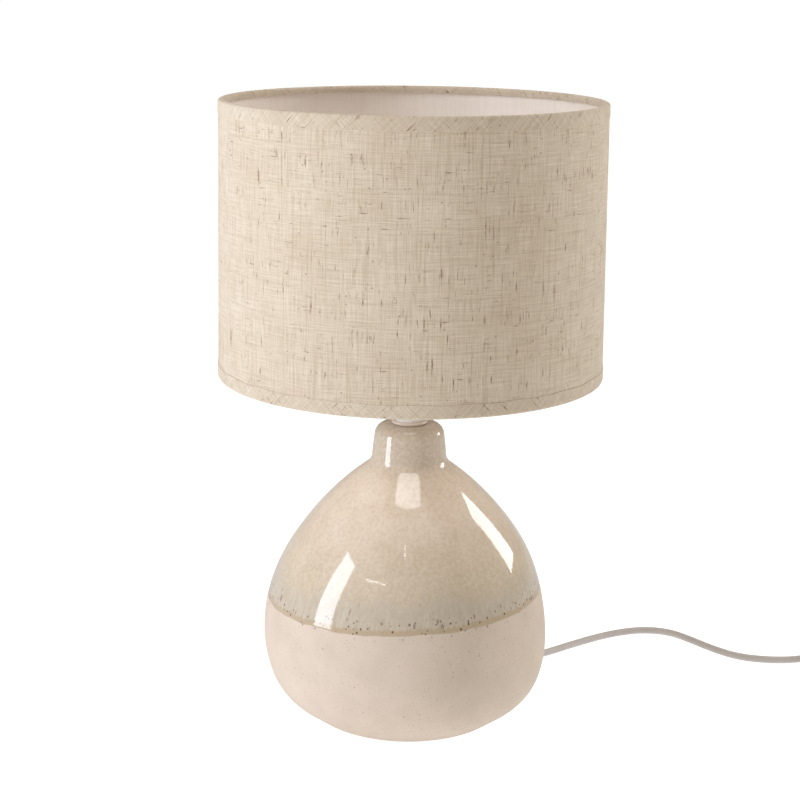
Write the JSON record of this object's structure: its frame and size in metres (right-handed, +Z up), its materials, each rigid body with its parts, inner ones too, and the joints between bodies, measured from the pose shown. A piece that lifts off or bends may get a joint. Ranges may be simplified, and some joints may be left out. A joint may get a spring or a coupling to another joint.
{
  "type": "table lamp with shade",
  "caption": "Table lamp with a rounded glazed stoneware base, a tapered linen drum shade on a wire spider, a screw lampholder, and a lead with an in-line rocker switch and a flat plug.",
  "frame": {"origin": "middle of the base's underside, on the table", "axes": "+Z up along the lamp's axis; the front faces -Y; the lead leaves the back right and lies towards +X"},
  "size_m": [0.6155, 0.2645, 0.409],
  "materials": {
    "glazed_stoneware": "glossy beige reactive glaze, unglazed matte foot",
    "fibreboard": "raw",
    "felt": "napped",
    "cord_grey": "satin",
    "fitting_grey": "fine moulded grain",
    "nylon_white": "satin",
    "zinc_steel": "zinc plated",
    "black_rubber": "matte",
    "cream_plastic": "satin",
    "holder_plastic": "satin",
    "terminal_block": "unglazed",
    "brass": "bright",
    "brown_insulation": "satin",
    "blue_insulation": "satin",
    "white_wire": "powder coated",
    "linen": "coarse natural linen weave with slubs",
    "liner": "smooth styrene laminate",
    "bias_tape": "linen cut on the bias",
    "opal": "opal satin",
    "bulb_white": "satin",
    "nickel": "nickelled",
    "black_glass": "glossy",
    "strap": "hook and loop"
  },
  "bodies": {
    "base": {"ceramic_body": "glazed_stoneware", "base_cover": "fibreboard", "felt_pad": "felt", "cord_bush": "fitting_grey", "bush_nut": "fitting_grey", "cord_stop": "nylon_white", "neck_tube": "zinc_steel", "neck_washer": "cream_plastic", "rubber_washer": "black_rubber", "steel_washer": "zinc_steel", "neck_nut": "zinc_steel", "holder_base": "holder_plastic", "holder_shell": "holder_plastic", "holder_core": "terminal_block", "centre_contact": "brass", "side_contact": "brass", "terminal_screws": "brass", "live_wire": "brown_insulation", "neutral_wire": "blue_insulation", "inner_cord": "cord_grey", "cord_lead": "cord_grey", "cord_mid": "cord_grey", "cord_coil": "cord_grey", "coil_tie": "strap", "cord_tail": "cord_grey", "switch_lower_shell": "fitting_grey", "switch_upper_shell": "fitting_grey", "switch_pivot": "zinc_steel", "switch_contacts": "brass", "switch_cord_clamps": "nylon_white", "switch_screws": "zinc_steel", "plug_body": "fitting_grey", "plug_relief": "fitting_grey", "plug_sleeves": "fitting_grey", "plug_pins": "nickel"},
    "ring_nut": {"ring_nut": "holder_plastic"},
    "shade": {"shade_fabric": "linen", "shade_liner": "liner", "top_wire_ring": "white_wire", "bottom_wire_ring": "white_wire", "carrier_ring": "white_wire", "top_tape": "bias_tape", "bottom_tape": "bias_tape", "spider_arm_1": "white_wire", "spider_arm_2": "white_wire", "spider_arm_3": "white_wire"},
    "bulb": {"bulb_globe": "opal", "bulb_collar": "bulb_white", "bulb_screw_cap": "nickel", "bulb_insulator": "black_glass", "bulb_tip": "nickel"},
    "rocker": {"switch_rocker": "fitting_grey"}
  },
  "joints": [
    {"name": "ring_nut_turn", "type": "hinge", "parent": "base", "child": "ring_nut", "pos_m": [0, 0, 0.246], "axis": [0, 0, 1], "continuous": true},
    {"name": "shade_turn", "type": "hinge", "parent": "base", "child": "shade", "pos_m": [0, 0, 0.24], "axis": [0, 0, 1], "continuous": true},
    {"name": "bulb_lift", "type": "slide", "parent": "base", "child": "bulb", "axis": [0, 0, 1], "range_m": [0, 0.18]},
    {"name": "rocker_tip", "type": "hinge", "parent": "base", "child": "rocker", "pos_m": [0.348, 0.0825, 0.0125], "axis": [0, 1, 0], "range_deg": [0, 24]}
  ]
}
